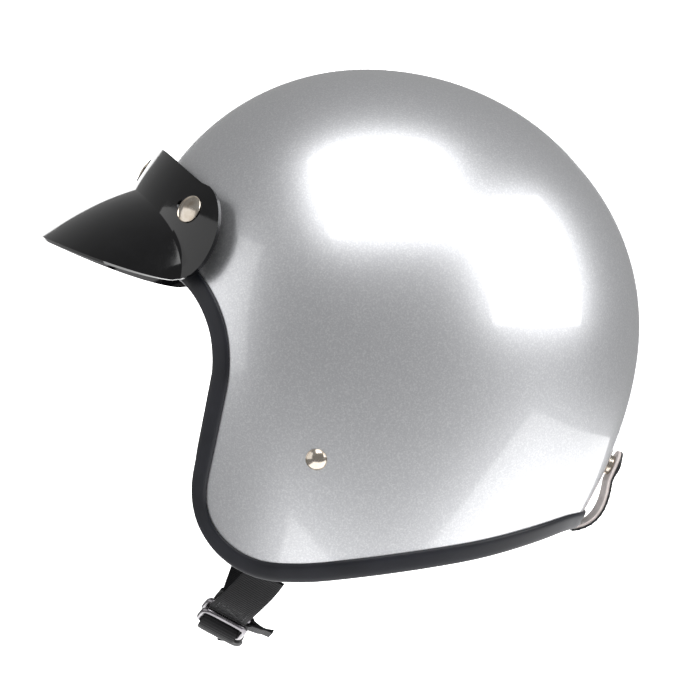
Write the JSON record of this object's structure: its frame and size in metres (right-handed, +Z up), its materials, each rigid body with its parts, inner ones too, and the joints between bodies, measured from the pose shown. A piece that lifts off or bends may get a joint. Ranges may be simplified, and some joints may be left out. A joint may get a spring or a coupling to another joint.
{
  "type": "open face motorcycle helmet",
  "caption": "Open face helmet shell with lined foam interior, edge trim, peaked visor on press studs, D-ring chin strap and a snap tab at the nape for a goggle strap.",
  "frame": {"origin": "middle of the wearer's head, level with the widest part of the shell", "axes": "+Z up through the crown, -Y to the wearer's front, +X to the wearer's left"},
  "size_m": [0.2374, 0.3159, 0.3058],
  "materials": {
    "metallic_paint": "silver metallic paint under clear coat",
    "trim_rubber": "satin rubber channel",
    "foam": "expanded polystyrene",
    "lining": "brushed knit",
    "nickel": "polished nickel",
    "steel": "plain steel",
    "webbing": "woven webbing",
    "visor_plastic": "gloss black moulding",
    "leathercloth": "grained black",
    "tab_lining": "pale suede backing",
    "black_cap": "black enamel",
    "dark_nickel": "dark nickel wire",
    "release_webbing": "woven webbing"
  },
  "bodies": {
    "helmet": {"shell": "metallic_paint", "edge_trim": "trim_rubber", "foam_liner": "foam", "crown_lining": "lining", "rim_lining": "lining", "brow_pad": "lining", "nape_pad": "lining", "cheek_pad_left": "lining", "cheek_pad_right": "lining", "strap_rivet_left": "nickel", "strap_rivet_right": "nickel", "rivet_washer_left": "steel", "rivet_washer_right": "steel", "strap_anchor_left": "webbing", "strap_anchor_right": "webbing", "snap_stud_left": "nickel", "snap_stud_centre": "nickel", "snap_stud_right": "nickel", "snap_stud_rear": "nickel", "goggle_tab_anchor": "leathercloth"},
    "visor": {"visor": "visor_plastic", "visor_cap_left": "nickel", "visor_cap_centre": "nickel", "visor_cap_right": "nickel", "visor_socket_left": "steel", "visor_socket_centre": "steel", "visor_socket_right": "steel"},
    "goggle_tab": {"goggle_tab": "leathercloth", "goggle_tab_lining": "tab_lining", "goggle_tab_cap": "black_cap", "goggle_tab_socket": "steel"},
    "chin_strap": {"chin_strap_left": "webbing", "chin_strap_right": "webbing", "d_ring_outer": "dark_nickel", "d_ring_inner": "dark_nickel", "strap_end_snap": "black_cap"},
    "release_tab": {"release_tab": "release_webbing"}
  },
  "joints": [
    {"name": "visor_pull", "type": "slide", "parent": "helmet", "child": "visor", "axis": [0, -0.8342, 0.5514], "range_m": [0, 0.03]},
    {"name": "goggle_tab_swing", "type": "hinge", "parent": "helmet", "child": "goggle_tab", "pos_m": [0, 0.109, -0.108], "axis": [-1, 0, 0], "range_deg": [0, 75]},
    {"name": "chin_strap_swing", "type": "hinge", "parent": "helmet", "child": "chin_strap", "pos_m": [0, -0.05451, -0.12129], "axis": [1, 0, 0], "range_deg": [-8, 8]},
    {"name": "release_tab_swing", "type": "hinge", "parent": "chin_strap", "child": "release_tab", "pos_m": [0.04342, -0.06191, -0.15153], "axis": [-0.9017, -0.2076, -0.3792], "range_deg": [-20, 20]}
  ]
}
